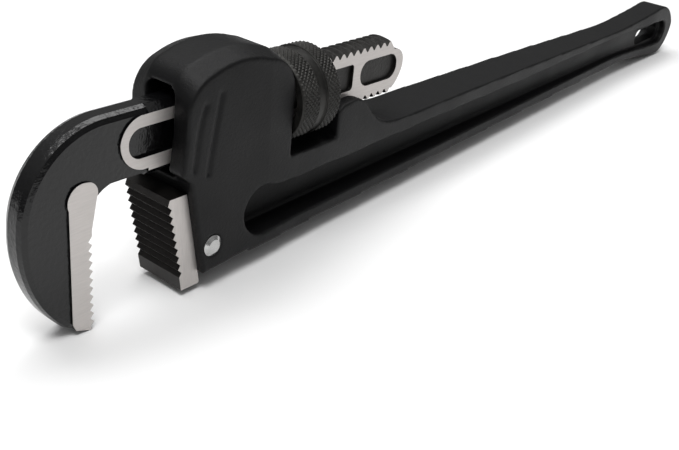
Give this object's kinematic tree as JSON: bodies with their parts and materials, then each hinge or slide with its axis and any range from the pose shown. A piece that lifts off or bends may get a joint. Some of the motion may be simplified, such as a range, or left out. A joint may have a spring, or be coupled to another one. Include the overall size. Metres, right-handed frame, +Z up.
{
  "type": "pipe wrench",
  "caption": "Heavy-duty straight pipe wrench with an adjustable hook jaw on a threaded shank, a fixed toothed heel jaw and an I-beam handle with a hanging slot.",
  "frame": {"origin": "middle of the bottom of the whole object's box", "axes": "+X along the handle from head to tail, -Y the side seen in the reference view, +Z up from the handle's lower edge to the shank"},
  "size_m": [0.5937, 0.0424, 0.1062],
  "materials": {
    "black_casting": "cast aluminium with a fine-textured semi-matte black coat",
    "forged_jaw": "forged steel, black lacquer with bare ground faces",
    "ground_steel": "ground alloy steel",
    "pin_steel": "polished steel",
    "knurled_steel": "dark oiled steel with a diamond knurl",
    "spring_steel": "blued spring steel",
    "rivet_steel": "zinc plated steel"
  },
  "bodies": {
    "handle": {"handle_casting": "black_casting", "heel_jaw": "ground_steel", "heel_jaw_pin": "pin_steel", "flat_spring": "spring_steel", "flat_spring_rivet": "rivet_steel", "coil_spring": "spring_steel"},
    "hook": {"hook_jaw": "forged_jaw"},
    "nut": {"adjusting_nut": "knurled_steel"}
  },
  "joints": [
    {"name": "nut_spin", "type": "hinge", "parent": "handle", "child": "nut", "pos_m": [-0.1478, 0, 0.07204], "axis": [0.9996, 0, -0.0279], "range_deg": [-2049.3, 3005.7]},
    {"name": "jaw_slide", "type": "slide", "parent": "handle", "child": "hook", "axis": [0.9996, 0, -0.0279], "range_m": [-0.0441, 0.0301]}
  ],
  "couplings": [
    {"joint": "jaw_slide", "follows": "nut_spin", "m_per_rad": -0.00083875}
  ]
}
